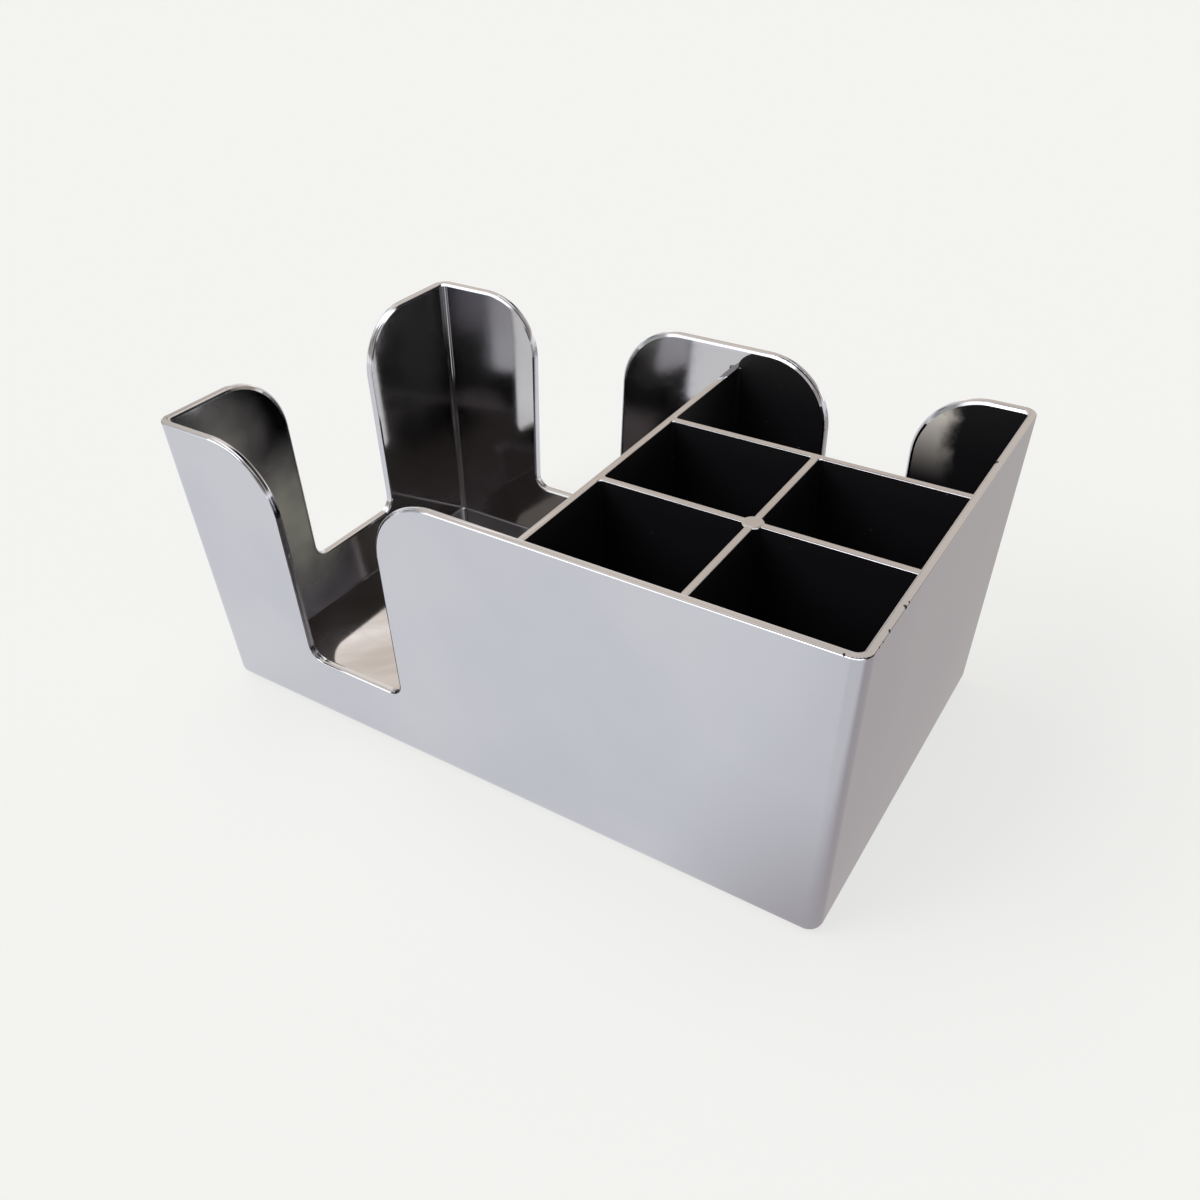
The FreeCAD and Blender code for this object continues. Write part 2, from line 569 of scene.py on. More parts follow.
class PlatingFilm(EffectGroup):
    """Slight cloudiness, wipe marks and waviness of the plated surface."""

    clouds: Patches = Patches(14.0, 3.0, 0.35, 0.68)
    wiped: Patches = Patches(38.0, 5.0, 0.42, 0.80)
    wipe_stretch: Point = (1.0, 1.0, 0.35)
    wiped_share: float = 0.7
    grain: Patches = Patches(420.0, 2.0, 0.45, 0.75)
    grain_share: float = 0.3
    swell: float = 11.0
    ripple: float = 48.0
    ripple_share: float = 0.08

    def __init__(self) -> None:
        """Builds the group."""
        super().__init__("plating_film", {}, ("Tone", "Haze", "Ripple"))
        self.give("Tone", self.patches(self.clouds))
        wiped = self.patches(self.wiped, self.value("Place").stretched(self.wipe_stretch))
        self.give("Haze", wiped * self.wiped_share + self.patches(self.grain) * self.grain_share)
        ripple = self.noise(self.ripple, 0.0) * self.ripple_share
        self.give("Ripple", self.noise(self.swell, 1.0) + ripple)


@dataclass(frozen=True)
class PaintedHighlightSpot:
    """A painted highlight: a greenish, less metallic spot round a place, with how far it is full and where
    it ends.
    """

    place: Point
    full: float
    faint: float
    strength: float = 1.0


class PlatingReach(EffectGroup):
    """Where the plating is thin, and where it did not reach: inside the cells and the straw trough."""

    edge_wander: float = 0.35 * MM
    skin: float = 0.06 * MM
    corner_width: float = 13.0 * MM
    dull_middle: float = 87.0 * MM
    dull_half: float = 8.0 * MM
    dull_core: float = 0.35
    dull_edge: float = 1.3
    dull_depth: float = 34.0 * MM
    dull_waves: float = 180.0
    fleck_waves: float = 330.0
    fleck_rise: float = 0.5
    fleck_from: float = 0.40
    fleck_to: float = 0.74
    # Patches that break up the painted highlights.
    highlight_patches: Patches = Patches(24.0, 3.0, 0.30, 0.62)
    highlight_patch_least: float = 0.35
    # Painted highlights: greenish, less metallic spots on the bay walls, each with its place, full reach,
    # end and strength.
    painted_highlight_spots: tuple[PaintedHighlightSpot, ...] = (
        PaintedHighlightSpot(mm(-115.0, -58.0, 86.0), 5.0 * MM, 30.0 * MM),
        PaintedHighlightSpot(mm(-112.0, -32.0, 44.0), 10.0 * MM, 40.0 * MM),
        PaintedHighlightSpot(mm(-115.0, 42.0, 84.0), 14.0 * MM, 42.0 * MM, 0.09),
    )
    thin_from: float = 0.3 * MM
    thin_to: float = 3.0 * MM
    deep_from: float = 38.0 * MM
    deep_to: float = 75.0 * MM
    # Painted reflection: dark streaks in the plating's colour on the bay floor.
    reflection_streaks: Patches = Patches(80.0, 2.0, 0.38, 0.72)
    streak_stretch: float = 0.3
    streak_share: float = 0.45

    def __init__(self, form: TrayForm) -> None:
        """Builds the group.

        Args:
            form: The tray's shared sizes.
        """
        super().__init__("plating_reach", {}, ("Bare", "Thin", "Deep", "Dull", "PaintedHighlight"))
        x, y, z = self.axes(self.value("Place"))
        drop = form.crown - z
        depth = form.rim - z
        inside = z.above((form.base + form.floor) / 2)
        within = inside * (form.inner_length + self.skin - drop * form.end_slope).above(x.size())
        within = within * (form.inner_depth + self.skin - drop * form.side_slope).above(y.size())
        right = x.above(form.divider_x + form.crown_thickness / 4)
        face = form.divider_x + form.crown_thickness / 2
        beside = (1 - (x - face) / self.corner_width).most(0.0).least(1.0)
        edge = z + self.wander(self.edge_wander)
        raised = ((edge - form.crown) / (form.rim - form.crown)).most(0.0).least(1.0)
        corner = (beside * beside + raised * raised).root().below(1.0)
        covered = y.above(form.trough_y) * (1 - corner)
        self.give("Bare", within * right * (1 - covered))
        beyond = y.above(form.trough_y + self.dull_half)
        across = (x + self.wander(self.dull_half / 2, self.dull_waves) - self.dull_middle).size()
        flecked = self.noise(self.fleck_waves, 4.0) + depth.ramp(0.0, self.corner_width) * self.fleck_rise
        dull = across.ramp(self.dull_core * self.dull_half, self.dull_edge * self.dull_half, 1.0, 0.0)
        dull = dull * flecked.ramp(self.fleck_from, self.fleck_to)
        dull = dull * depth.ramp(0.0, self.dull_depth, 1.0, 0.0)
        self.give("Dull", dull * within * beyond)
        # Painted highlights: the strongest spot at each point, broken up by patches, inside the tray only.
        painted_highlight = reduce(Formula.most, (self.cast(highlight_spot) for highlight_spot in self.painted_highlight_spots))
        self.give("PaintedHighlight", within * painted_highlight * self.patches(self.highlight_patches, least=self.highlight_patch_least))
        self.give("Thin", within * depth.ramp(self.thin_from, self.thin_to))
        # Deep: on the walls the plating darkens towards the bottom; on the floors it takes the painted
        # reflection streaks.
        on_wall = z.above(form.floor + self.skin)
        slanted = self.out(self.node("ShaderNodeCombineXYZ", X=(x + y) * self.streak_stretch, Y=x - y))
        reflection_streaks = self.patches(self.reflection_streaks, slanted) * self.streak_share
        deep = on_wall * depth.ramp(self.deep_from, self.deep_to) + (1 - on_wall) * reflection_streaks
        self.give("Deep", within * deep)

    def cast(self, highlight_spot: PaintedHighlightSpot) -> Formula:
        """How strongly a painted highlight spot shows."""
        away = self.value("Place").distance(highlight_spot.place)
        return away.ramp(highlight_spot.full, highlight_spot.faint, highlight_spot.strength, 0.0)


class RimEdges(EffectGroup):
    """The crisp outer edge of a flat top, and the plated bevel inside the rim and the cut-outs."""

    shoulder: float = 24.0 * MM
    flare: float = 1.2 * MM
    sill: float = 25.0 * MM
    corner: float = 5.0 * MM
    napkin_half: float = 19.5 * MM
    end_half: float = 21.5 * MM
    trough_half: float = 14.0 * MM
    wall: float = 2.4 * MM
    touch: float = 0.6 * MM
    edge_wander: float = 0.07 * MM
    crisp_slope: float = 1.5
    bevel_slope: float = 1.4

    def __init__(self, form: TrayForm) -> None:
        """Builds the group from the depth of a point below the nearest edge.

        Args:
            form: The tray's shared sizes.
        """
        super().__init__(
            "rim_edges",
            {"Top": Kind.NUMBER, "Crisp": Kind.NUMBER, "Bevel": Kind.NUMBER},
            ("Plated", "Rise"),
        )
        x, y, z = self.axes(self.value("Place"))
        end_plane = form.inner_length - (form.crown - z) * form.end_slope
        side_plane = form.inner_depth - (form.crown - z) * form.side_slope
        at_side = y.size().above(side_plane - self.touch)
        at_far = y.above(side_plane - self.touch)
        at_left = (x * -1).above(end_plane - self.touch)
        sill = form.base + self.sill
        lean = (z - sill) * (self.flare / (form.rim - sill))
        below = (sill + self.corner - z).most(0.0)
        cut = at_side * self.nearness((x - form.bay_x).size() - lean - self.napkin_half, below)
        cut = cut.most(at_far * self.nearness((x - form.cell_x).size() - lean - self.trough_half, below))
        cut = cut.most(at_left * self.nearness(y.size() - lean - self.end_half, below))
        rim = (self.shoulder - self.value("Top") + z).most(0.0)
        depth = (self.shoulder - (cut * cut + rim * rim).root()).most(0.0)
        crisp, bevel = self.value("Crisp"), self.value("Bevel")
        inner = x.size().below(end_plane + self.wall / 2) * y.size().below(side_plane + self.wall / 2)
        sloped = (depth - crisp).most(0.0).least(bevel) * inner
        self.give("Rise", depth.least(crisp) * self.crisp_slope + sloped * self.bevel_slope)
        self.give("Plated", (depth + self.wander(self.edge_wander)).below(crisp + bevel))

    def nearness(self, beside: Formula, below: Formula) -> Formula:
        """How far a point by a U-shaped cut-out lies short of a shoulder's radius from it.

        Args:
            beside: Distance past the cut-out's upright edge.
            below: Distance below the middle of its lower corners.

        Returns:
            The shoulder's radius at the cut-out's edge, falling to zero.
        """
        across = (beside + self.corner).most(0.0)
        depth = (across * across + below * below).root() - self.corner
        return (self.shoulder - depth).most(0.0)


@dataclass(frozen=True)
class RimChip:
    """A place on the rim where the plating has flaked off."""

    place: Point
    reach: float


class RimWear(EffectGroup):
    """Flakes along the rim's edges that show the black plastic."""

    flake_wander: float = 0.9 * MM
    flake_waves: float = 900.0

    def __init__(self, chips: Sequence[RimChip]) -> None:
        """Builds the group.

        Args:
            chips: The flakes that stand out.
        """
        super().__init__("rim_wear", {}, ("Chip",))
        place = self.value("Place")
        shift = self.node("ShaderNodeTexNoise", Vector=place, Scale=self.flake_waves, Detail=2.0)
        step = self.out(shift, "Color").moved((-0.5, -0.5, -0.5)).stretched((self.flake_wander,) * 3)
        ragged = place.moved(step)
        flakes = (ragged.distance(chip.place).below(chip.reach) for chip in chips)
        self.give("Chip", reduce(Formula.most, flakes))


class DustSpecks(EffectGroup):
    """Fine pale specks of dust."""

    spacing: float = 520.0
    dot: float = 0.10
    drifts: Patches = Patches(55.0, 2.0, 0.50, 0.72)

    def __init__(self) -> None:
        """Builds the group."""
        super().__init__("dust_specks", {"Amount": Kind.NUMBER}, ("Speck",))
        cells = self.node("ShaderNodeTexVoronoi", Vector=self.value("Place"), Scale=self.spacing)
        dots = self.out(cells, "Distance").below(self.dot)
        picked = self.axes(self.out(cells, "Color"))[0].below(self.value("Amount"))
        self.give("Speck", dots * self.patches(self.drifts) * picked)


class Finish:
    """Base of the finishes: a material with its Principled shader and helpers to feed it."""

    def start(self, name: str) -> None:
        """Makes an empty material with one Principled shader.

        Args:
            name: The material's name.
        """
        self.material = bpy.data.materials.new(name)
        self.material.use_nodes = True
        self.tree = self.material.node_tree
        self.shader = self.tree.nodes["Principled BSDF"]
        place = self.tree.nodes.new("ShaderNodeTexCoord")
        self.place = Formula(self.tree, place.outputs["Object"])

    def effect(self, group: EffectGroup, **values: float) -> dict[str, Formula]:
        """Places a shared group in this material.

        Args:
            group: The group.
            values: Its inputs by name, with underscores for spaces.

        Returns:
            Its outputs by name.
        """
        node = self.tree.nodes.new("ShaderNodeGroup")
        node.node_tree = group.tree
        self.place.feed(node.inputs["Place"])
        for label, value in values.items():
            node.inputs[label.replace("_", " ")].default_value = value
        return {socket.name: Formula(self.tree, socket) for socket in node.outputs}

    def mixed(self, share: Formula, first: Colour | Formula, second: Colour | Formula) -> Formula:
        """Mixes two colours.

        Args:
            share: How much of the second colour shows.
            first: The first colour.
            second: The second colour.

        Returns:
            The mixed colour.
        """
        node = self.tree.nodes.new("ShaderNodeMix")
        node.data_type = "RGBA"
        share.feed(node.inputs[0])
        for socket, colour in ((node.inputs[6], first), (node.inputs[7], second)):
            fill(socket, colour if isinstance(colour, Formula) else (*colour, 1.0))
        return Formula(self.tree, node.outputs[2])

    def bump(self, height: Formula, depth: float = 1.0) -> None:
        """Feeds the shader's normal from a height.

        Args:
            height: The height, in metres or as a share of the depth.
            depth: The real height of one unit of it.
        """
        node = self.tree.nodes.new("ShaderNodeBump")
        node.inputs["Distance"].default_value = depth
        height.feed(node.inputs["Height"])
        self.tree.links.new(node.outputs["Normal"], self.shader.inputs["Normal"])


@dataclass(frozen=True)
class EdgeForm:
    """A plated top: its height, its crisp edge and the bevel inside it."""

    top: float
    crisp: float
    bevel: float


@dataclass(frozen=True)
class PlatedEffects:
    """The shared effects of plated plastic."""

    film: PlatingFilm
    reach: PlatingReach
    edges: RimEdges
    wear: RimWear
    dust: DustSpecks


@dataclass(frozen=True)
class PlatedSizes:
    """Colours and gloss of plated black plastic."""

    bright: Colour = (0.62, 0.63, 0.69)
    cloudy: Colour = (0.58, 0.59, 0.66)
    thin: Colour = (0.58, 0.575, 0.615)
    thin_cloudy: Colour = (0.49, 0.485, 0.50)
    # Darker plating colour: towards the bottom of the bay walls, and in the painted reflection streaks on
    # its floor.
    deep: Colour = (0.40, 0.39, 0.40)
    # Painted highlights: their greenish colour, and how much of their metal they lose.
    painted_highlight: Colour = (0.55, 0.56, 0.48)
    painted_highlight_share: float = 0.95
    dull: Colour = (0.76, 0.72, 0.67)
    polish: float = 0.035
    thin_polish: float = 0.065
    haze: float = 0.07
    plastic: Colour = (0.0062, 0.0056, 0.0070)
    plastic_gloss: float = 0.42
    dust: Colour = (0.26, 0.25, 0.24)
    dust_amount: float = 0.32
    ripple: float = 0.05 * MM


class PlatedMoulding(Finish):
    """Bright chrome over black plastic, bare where the plating did not reach or has flaked."""

    def __init__(self, name: str, sizes: PlatedSizes, edge: EdgeForm, effects: PlatedEffects) -> None:
        """Builds the material.

        Args:
            name: The material's name.
            sizes: Its colours and gloss.
            edge: The plated top that it has.
            effects: The effects that it shares with others.
        """
        self.start(name)
        surface = self.effect(effects.film)
        plating = self.effect(effects.reach)
        edges = self.effect(effects.edges, Top=edge.top, Crisp=edge.crisp, Bevel=edge.bevel)
        bare = (plating["Bare"] * (1 - edges["Plated"])).most(self.effect(effects.wear)["Chip"])
        specks = self.effect(effects.dust, Amount=sizes.dust_amount)["Speck"] * bare
        thin = self.mixed(surface["Tone"], sizes.thin, sizes.thin_cloudy)
        thin = self.mixed(plating["Deep"], thin, sizes.deep)
        # Inside, the plating takes the painted highlights' greenish colour where they lie.
        metal = self.mixed(
            plating["Thin"],
            self.mixed(surface["Tone"], sizes.bright, sizes.cloudy),
            self.mixed(plating["PaintedHighlight"], thin, sizes.painted_highlight),
        )
        dark = self.mixed(plating["Dull"], sizes.plastic, sizes.dull)
        base = self.mixed(specks, self.mixed(bare, metal, dark), sizes.dust)
        base.feed(self.shader.inputs["Base Color"])
        # Painted highlights are less metallic, so that they catch the lamps' diffuse light.
        ((1 - bare) * (1 - plating["PaintedHighlight"] * sizes.painted_highlight_share)).feed(self.shader.inputs["Metallic"])
        rough = surface["Haze"] * sizes.haze + sizes.polish
        rough = rough + plating["Thin"] * (sizes.thin_polish - sizes.polish)
        rough = rough + bare * (sizes.plastic_gloss - sizes.thin_polish)
        rough.feed(self.shader.inputs["Roughness"])
        self.bump(surface["Ripple"] * sizes.ripple + edges["Rise"])


class FootRubber(Finish):
    """Matt black rubber with a fine moulded grain."""

    dark: Colour = (0.020, 0.020, 0.021)
    worn: Colour = (0.045, 0.043, 0.041)
    rough: float = 0.72
    haze: float = 0.15
    bloom_share: float = 0.6
    dust_share: float = 0.4
    dust_amount: float = 0.5
    grain: float = 0.05 * MM

    def __init__(self, film: PlatingFilm, dust: DustSpecks) -> None:
        """Builds the material.

        Args:
            film: Cloudiness, here of the rubber's bloom.
            dust: Dust that clings to it.
        """
        self.start("foot_rubber")
        surface = self.effect(film)
        specks = self.effect(dust, Amount=self.dust_amount)["Speck"]
        pale = surface["Tone"] * self.bloom_share + specks * self.dust_share
        self.mixed(pale, self.dark, self.worn).feed(self.shader.inputs["Base Color"])
        (surface["Haze"] * self.haze + self.rough).feed(self.shader.inputs["Roughness"])
        self.bump(surface["Haze"], self.grain)


@dataclass(frozen=True)
class Finishes:
    """The finishes that the pieces wear."""

    shell: bpy.types.Material
    partition: bpy.types.Material
    rubber: bpy.types.Material

    @classmethod
    def make(cls, form: TrayForm, chips: Sequence[RimChip]) -> "Finishes":
        """Makes every material.

        Args:
            form: The tray's shared sizes.
            chips: The flakes on the rim.

        Returns:
            The finishes.
        """
        effects = PlatedEffects(
            PlatingFilm(), PlatingReach(form), RimEdges(form), RimWear(chips), DustSpecks()
        )
        sizes = PlatedSizes()
        rim = EdgeForm(top=form.rim, crisp=0.8 * MM, bevel=0.7 * MM)
        crown = EdgeForm(top=form.crown, crisp=0.5 * MM, bevel=0.0)
        shell = PlatedMoulding("chrome_plate", sizes, rim, effects)
        partition = PlatedMoulding("plated_partition", sizes, crown, effects)
        rubber = FootRubber(effects.film, effects.dust)
        return cls(shell.material, partition.material, rubber.material)


def as_piece(mesh: bpy.types.Mesh, replaced: Sequence[str]) -> bpy.types.Object:
    """Makes a finished mesh one piece of the object.

    Args:
        mesh: The mesh, in place and with its material.
        replaced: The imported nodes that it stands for.

    Returns:
        The new object.
    """
    piece = linked(mesh.name, mesh)
    smooth(piece)
    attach(piece, BODY)
    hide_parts(*replaced)
    LOG.info("%s: %d faces, stands for %s", piece.name, len(piece.data.polygons), ", ".join(replaced))
    return piece


def smooth(piece: bpy.types.Object, crease: float = math.radians(35), pull: int = 100) -> None:
    """Shades a piece smooth, with flat faces kept flat beside their rounds.

    Args:
        piece: The object.
        crease: Edges sharper than this angle stay sharp.
        pull: How strongly large faces set the shading of their edges.
    """
    piece.data.shade_smooth()
    piece.data.set_sharp_from_angle(angle=crease)
    weigh = piece.modifiers.new("flat_faces", "WEIGHTED_NORMAL")
    weigh.keep_sharp = True
    weigh.weight = pull
    graph = bpy.context.evaluated_depsgraph_get()
    shaded = bpy.data.meshes.new_from_object(piece.evaluated_get(graph))
    shaded.name = piece.data.name + "_shaded"
    piece.modifiers.remove(weigh)
    piece.data = shaded


def joined(name: str, meshes: Sequence[bpy.types.Mesh]) -> bpy.types.Mesh:
    """Joins meshes that share one material.

    Args:
        name: The new mesh's name.
        meshes: The meshes, each in place.

    Returns:
        One mesh with all their faces.
    """
    whole = bpy.data.meshes.new(name)
    build = bmesh.new()
    for mesh in meshes:
        build.from_mesh(mesh)
    build.to_mesh(whole)
    build.free()
    whole.materials.append(meshes[0].materials[0])
    return whole


@dataclass(frozen=True)
class TrayShell:
    """The moulded floor and walls with their cut-outs."""

    merge: float = 0.001 * MM

    def build(self, finish: bpy.types.Material) -> bpy.types.Object:
        """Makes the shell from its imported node, with its triangles joined up.

        Args:
            finish: The material.

        Returns:
            The piece.
        """
        build = bmesh.new()
        build.from_mesh(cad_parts["tray_shell"].data)
        bmesh.ops.remove_doubles(build, verts=build.verts, dist=self.merge)
        mesh = bpy.data.meshes.new("moulded_shell")
        build.to_mesh(mesh)
        build.free()
        mesh.materials.append(finish)
        return as_piece(mesh, ["tray_shell"])


@dataclass(frozen=True)
class Partitions:
    """The walls inside the tray, flared into the shell and into each other."""

    form: TrayForm
    rule: PartitionRule
    post: PostRule
    wall_fillet: float = 1.3 * MM
    floor_fillet: float = 0.8 * MM
    crown_radius: float = 0.5 * MM
    seat: float = 0.15 * MM
    stations_along: int = 96
    stations_up: int = 72
    pad_radius: float = 3.2 * MM
    pad_depth: float = 8.0 * MM
    pad_rise: float = 0.05 * MM
    pad_sides: int = 64
    pad_rings: int = 24

    def wall(
        self, name: str, run: Run, start: Vector, length: float,
        slopes: tuple[float, float], sinks: tuple[float, float], finish: bpy.types.Material,
    ) -> bpy.types.Mesh:
        """Makes one wall.

        Args:
            name: The mesh's name.
            run: The direction that it runs in.
            start: Where its middle starts on the floor.
            length: Its length at the floor.
            slopes: How its two ends lean out with height.
            sinks: How far its two ends are let into what they meet.
            finish: The material.

        Returns:
            The wall, in place.
        """
        form = self.form
        mesh = self.rule.mesh(name, {
            "Length": length, "Height": form.partition_height,
            "Foot": form.foot_thickness, "Crown": form.crown_thickness,
            "Start Slope": slopes[0], "End Slope": slopes[1],
            "Start Sink": sinks[0], "End Sink": sinks[1], "Floor Sink": self.seat,
            "Wall Fillet": self.wall_fillet, "Floor Fillet": self.floor_fillet,
            "Crown Radius": self.crown_radius,
            "Stations Along": self.stations_along, "Stations Up": self.stations_up,
            "Material": finish,
        })
        mesh.transform(Matrix.Translation(start) @ Matrix.Rotation(run.value, 4, "Z"))
        return mesh

    def divider(self, finish: bpy.types.Material) -> bpy.types.Object:
        """Makes the wall that closes the napkin bay, from the near wall to the far wall."""
        form = self.form
        start = Vector((form.divider_x, -form.floor_half_depth, form.floor))
        slopes = (form.side_slope, form.side_slope)
        mesh = self.wall(
            "napkin_bay_divider", Run.ALONG_Y, start, 2 * form.floor_half_depth, slopes,
            (self.seat, self.seat), finish,
        )
        return as_piece(mesh, ["napkin_divider"])

    def long_wall(self, name: str, y: float, finish: bpy.types.Material) -> bpy.types.Mesh:
        """Makes a wall from the divider to the right end of the tray.

        Args:
            name: The mesh's name.
            y: Where it stands.
            finish: The material.

        Returns:
            The wall, in place.
        """
        form = self.form
        start = Vector((form.divider_x + form.foot_thickness / 2, y, form.floor))
        return self.wall(
            name, Run.ALONG_X, start, form.floor_half_length - start.x,
            (form.taper, form.end_slope), (self.crown_radius, self.seat), finish,
        )

    def trough_side(self, finish: bpy.types.Material) -> bpy.types.Object:
        """Makes the wall between the cells and the straw trough."""
        mesh = self.long_wall("straw_trough_wall", self.form.trough_y, finish)
        return as_piece(mesh, ["trough_wall"])

    def cells(self, finish: bpy.types.Material) -> bpy.types.Object:
        """Makes the two walls that cross between the cells, with the round pad on their crossing."""
        form = self.form
        start = Vector((form.cell_x, -form.floor_half_depth, form.floor))
        trough_face = form.trough_y - form.foot_thickness / 2
        short_wall = self.wall(
            "cell_short_wall", Run.ALONG_Y, start, trough_face - start.y,
            (form.side_slope, form.taper), (self.seat, self.crown_radius), finish,
        )
        pad = self.post.mesh("cell_pad", {
            "Radius": self.pad_radius, "Depth": self.pad_depth, "Edge Radius": self.crown_radius,
            "Spread X": 0.0, "Spread Y": 0.0, "Columns": 1, "Rows": 1,
            "Sides": self.pad_sides, "Rings": self.pad_rings, "Material": finish,
        })
        pad_foot = form.crown + self.pad_rise - self.pad_depth
        pad.transform(Matrix.Translation((form.cell_x, form.cell_y, pad_foot)))
        walls = [self.long_wall("cell_long_wall", form.cell_y, finish), short_wall, pad]
        return as_piece(joined("cell_cross_walls", walls), ["cell_cross"])


@dataclass(frozen=True)
class Feet:
    """The four non-slip feet in the underside."""

    post: PostRule
    tread_radius: float = 0.5 * MM
    sides: int = 72
    rings: int = 20
    nodes: tuple[str, ...] = ("foot_near_left", "foot_near_right", "foot_far_left", "foot_far_right")

    def build(self, finish: bpy.types.Material) -> bpy.types.Object:
        """Makes the feet, each with a rounded tread edge.

        Args:
            finish: The material.

        Returns:
            The piece.
        """
        low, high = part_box(self.nodes[-1])
        middle = (low + high) / 2
        depth = high.z - low.z
        mesh = self.post.mesh("rubber_feet", {
            "Radius": (high.x - low.x) / 2, "Depth": depth, "Edge Radius": self.tread_radius,
            "Spread X": 2 * middle.x, "Spread Y": 2 * middle.y, "Columns": 2, "Rows": 2,
            "Sides": self.sides, "Rings": self.rings, "Material": finish,
        })
        mesh.transform(Matrix.Translation((0, 0, depth)) @ Matrix.Rotation(math.pi, 4, "X"))
        return as_piece(mesh, self.nodes)


@dataclass(frozen=True)
class Softbox:
    """A soft lamp that faces the caddy."""

    name: str
    place: Point
    width: float
    height: float
    radiance: float
    tint: Colour

    def build(self, target: Vector) -> None:
        """Makes the lamp.

        Args:
            target: The point that it faces.
        """
        data = bpy.data.lights.new(self.name, "AREA")
        data.shape = "RECTANGLE"
        data.size = self.width
        data.size_y = self.height
        data.energy = math.pi * self.width * self.height * self.radiance
        data.color = self.tint
        lamp = linked(self.name, data)
        lamp.location = self.place
        lamp.rotation_euler = (target - lamp.location).to_track_quat("-Z", "Y").to_euler()


@dataclass(frozen=True)
class Glow:
    """A soft patch of the room's light round a direction, with the angles where it ends and is full."""

    towards: Point
    faint: float
    full: float
    colour: Colour

    def added(self, way: Formula, light: bpy.types.NodeSocket | None) -> bpy.types.NodeSocket:
        """Adds the patch to the light that is there already.

        Args:
            way: The direction looked in, in the world's tree.
            light: The light without this patch, if there is any.

        Returns:
            The light with this patch.
        """
        tree = way.tree
        faint, full = (math.cos(math.radians(angle)) for angle in (self.faint, self.full))
        share = way.along(tuple(Vector(self.towards).normalized())).ramp(faint, full)
        patch = tree.nodes.new("ShaderNodeBackground")
        patch.inputs["Color"].default_value = (*self.colour, 1.0)
        share.feed(patch.inputs["Strength"])
        if light is None:
            return patch.outputs[0]
        total = tree.nodes.new("ShaderNodeAddShader")
        tree.links.new(light, total.inputs[0])
        tree.links.new(patch.outputs[0], total.inputs[1])
        return total.outputs[0]


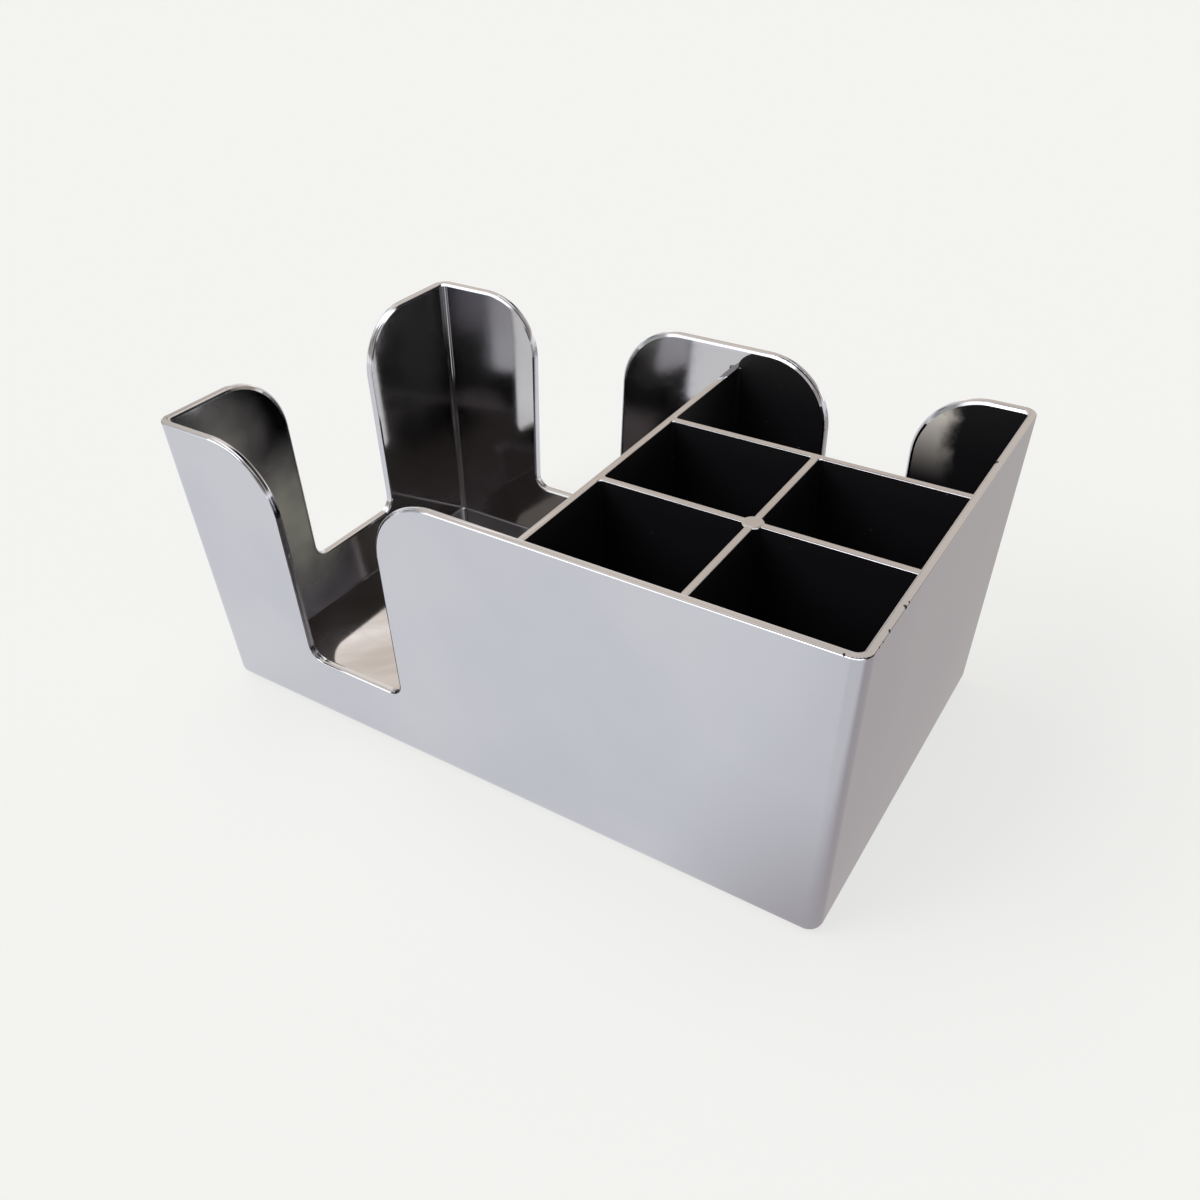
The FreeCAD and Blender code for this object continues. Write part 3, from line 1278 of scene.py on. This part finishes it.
@dataclass(frozen=True)
class Studio:
    """A pale floor, soft light and the camera."""

    floor_half: float = 4.0
    floor_gap: float = 0.02 * MM
    pale: Colour = (0.858, 0.858, 0.843)
    kept_shadow: float = 0.18
    glows: tuple[Glow, ...] = (
        Glow((-0.45, 0.75, 0.485), 30.0, 19.0, (0.80, 0.71, 0.60)),
        Glow((0.60, 0.65, 0.47), 40.0, 15.0, (0.075, 0.065, 0.055)),
        Glow((-0.62, -0.60, 0.52), 40.0, 15.0, (0.40, 0.37, 0.32)),
        Glow((0.60, -0.62, 0.50), 40.0, 15.0, (0.15, 0.13, 0.12)),
        Glow((-0.80, 0.0, 0.60), 35.0, 15.0, (0.60, 0.62, 0.60)),
        Glow((-0.47, 0.02, 0.88), 24.0, 12.0, (1.7, 1.7, 1.7)),
        Glow((0.0, 0.1, 1.0), 24.0, 14.0, (2.2, 2.2, 2.2)),
        Glow((0.50, -0.23, 0.83), 27.0, 18.0, (0.75, 0.75, 0.75)),
        Glow((0.33, 0.87, 0.25), 30.0, 16.0, (0.66, 0.60, 0.52)),
        Glow((-0.10, -0.90, 0.42), 25.0, 10.0, (0.40, 0.39, 0.39)),
        Glow((0.93, 0.05, 0.36), 24.0, 10.0, (0.50, 0.47, 0.44)),
        Glow((-0.42, 0.42, 0.80), 25.0, 12.0, (0.30, 0.28, 0.25)),
        Glow((0.0, 0.0, -1.0), 107.0, 97.0, (0.92, 0.92, 0.905)),
    )
    key_from: Point = (-0.62, -0.78, 0.80)
    key_spread: float = 40.0
    key_strength: float = 2.1
    strip: Softbox = Softbox(
        name="strip_light", place=(-1.08, 1.10, 1.10), width=0.50, height=0.035,
        radiance=0.5, tint=(0.97, 0.98, 1.0),
    )
    # The grey card is painted shade that only the metal mirrors: its tone, reach, fades and lift.
    painted_shade_tone: Colour = (0.49, 0.455, 0.44)
    card_reach: float = 0.6
    card_fade: tuple[float, float] = (0.05, 0.125)
    card_front: tuple[float, float] = (-0.12, -0.055)
    card_front_share: float = 0.3
    card_lift: float = 0.3 * MM
    target: Point = (0.0, 0.0, 0.06)
    lens: float = 34.97
    sensor: float = 36.0
    shift: tuple[float, float] = (0.01775, -0.06113)
    stand: Point = (0.18002, -0.28043, 0.27240)
    aim: Point = (1.01252, 0.02346, 0.57222)
    clip: tuple[float, float] = (0.01, 50.0)

    @staticmethod
    def sheet(name: str, low: Point, high: Point) -> bpy.types.Object:
        """Lays a level sheet between two opposite corners."""
        mesh = bpy.data.meshes.new(name)
        corners = [(low[0], low[1]), (high[0], low[1]), (high[0], high[1]), (low[0], high[1])]
        mesh.from_pydata([(x, y, low[2]) for x, y in corners], [], [(0, 1, 2, 3)])
        return linked(name, mesh)

    @staticmethod
    def blended(share: Formula, first: bpy.types.Node, second: bpy.types.Node) -> None:
        """Gives a material a blend of two shaders, with a share of the second."""
        tree = share.tree
        mix = tree.nodes.new("ShaderNodeMixShader")
        share.feed(mix.inputs[0])
        tree.links.new(first.outputs[0], mix.inputs[1])
        tree.links.new(second.outputs[0], mix.inputs[2])
        tree.links.new(mix.outputs[0], tree.nodes["Material Output"].inputs["Surface"])

    def floor(self) -> None:
        """Makes the floor, pale to the camera and in metal, with the object's soft shadow."""
        size, low = self.floor_half, -self.floor_gap
        floor = self.sheet("studio_floor", (-size, -size, low), (size, size, low))
        material = bpy.data.materials.new("pale_floor")
        material.use_nodes = True
        tree = material.node_tree
        matt = tree.nodes["Principled BSDF"]
        matt.inputs["Base Color"].default_value = (*self.pale, 1.0)
        matt.inputs["Roughness"].default_value = 1.0
        matt.inputs["Specular IOR Level"].default_value = 0.0
        glow = tree.nodes.new("ShaderNodeEmission")
        glow.inputs["Color"].default_value = (*self.pale, 1.0)
        path = tree.nodes.new("ShaderNodeLightPath")
        camera, glossy, through = (
            Formula(tree, path.outputs[label])
            for label in ("Is Camera Ray", "Is Glossy Ray", "Is Transmission Ray")
        )
        self.blended(camera.most(glossy).most(through) * (1 - self.kept_shadow), matt, glow)
        floor.data.materials.append(material)

    def card(self) -> None:
        """Lays a grey card to the right that only the metal mirrors, so that its right end reads darker:
        painted shade in place of a shaded floor.
        """
        near, far = self.card_fade[0], self.card_reach
        card = self.sheet("painted_shade_card", (near, -far, self.card_lift), (far, far, self.card_lift))
        for ray in ("camera", "diffuse", "transmission", "volume_scatter", "shadow"):
            setattr(card, "visible_" + ray, False)
        material = bpy.data.materials.new("painted_shade_card")
        material.use_nodes = True
        tree = material.node_tree
        tree.nodes.remove(tree.nodes["Principled BSDF"])
        tone = tree.nodes.new("ShaderNodeEmission")
        tone.inputs["Color"].default_value = (*self.painted_shade_tone, 1.0)
        clear = tree.nodes.new("ShaderNodeBsdfTransparent")
        place = tree.nodes.new("ShaderNodeTexCoord")
        parts = tree.nodes.new("ShaderNodeSeparateXYZ")
        tree.links.new(place.outputs["Object"], parts.inputs[0])
        front = Formula(tree, parts.outputs["Y"]).ramp(*self.card_front, self.card_front_share, 1.0)
        self.blended(Formula(tree, parts.outputs["X"]).ramp(*self.card_fade) * front, clear, tone)
        card.data.materials.append(material)

    def world(self) -> None:
        """Makes the room: pale at the horizon, bright overhead, warm behind the caddy and dim elsewhere."""
        world = bpy.data.worlds.new("studio_room")
        bpy.context.scene.world = world
        world.use_nodes = True
        tree = world.node_tree
        ways = tree.nodes.new("ShaderNodeTexCoord")
        way = Formula(tree, ways.outputs["Generated"])
        light: bpy.types.NodeSocket | None = None
        for glow in self.glows:
            light = glow.added(way, light)
        tree.links.new(light, tree.nodes["World Output"].inputs["Surface"])

    def lamps(self) -> None:
        """Makes the soft key light, which the metal does not mirror, and a strip that it does."""
        data = bpy.data.lights.new("key_light", "SUN")
        data.energy = self.key_strength
        data.angle = math.radians(self.key_spread)
        key = linked("key_light", data)
        key.location = self.key_from
        key.rotation_euler = Vector(self.key_from).to_track_quat("Z", "Y").to_euler()
        key.visible_glossy = False
        self.strip.build(Vector(self.target))

    def camera(self) -> None:
        """Makes the camera at the photograph's viewpoint."""
        data = bpy.data.cameras.new("photo_camera")
        data.sensor_width = self.sensor
        data.lens = self.lens
        data.shift_x, data.shift_y = self.shift
        data.clip_start, data.clip_end = self.clip
        camera = linked("photo_camera", data)
        camera.location = self.stand
        camera.rotation_euler = Euler(self.aim, "XYZ")
        bpy.context.scene.camera = camera

    def build(self) -> None:
        """Sets the stage."""
        bpy.context.scene.view_settings.view_transform = "Standard"
        self.floor()
        self.card()
        self.world()
        self.lamps()
        self.camera()


RIM_CHIPS = (
    RimChip(mm(119.75, -48.9, 105.95), 0.60 * MM),
    RimChip(mm(119.80, -46.6, 105.90), 0.35 * MM),
    RimChip(mm(119.80, -60.0, 105.90), 0.45 * MM),
    RimChip(mm(119.85, -64.5, 105.80), 0.28 * MM),
    RimChip(mm(119.85, -66.8, 105.80), 0.28 * MM),
    RimChip(mm(114.20, -73.80, 105.80), 0.35 * MM),
    RimChip(mm(117.75, 33.0, 105.95), 0.80 * MM),
)


def main() -> None:
    """Builds and dresses the caddy, then sets the stage."""
    logging.basicConfig(level=logging.INFO, format="%(name)s: %(message)s")
    form = TrayForm.from_frame()
    finishes = Finishes.make(form, RIM_CHIPS)
    post = PostRule()
    partitions = Partitions(form, PartitionRule(), post)
    TrayShell().build(finishes.shell)
    partitions.divider(finishes.partition)
    partitions.trough_side(finishes.partition)
    partitions.cells(finishes.partition)
    Feet(post).build(finishes.rubber)
    Studio().build()


if __name__ == "__main__":
    main()
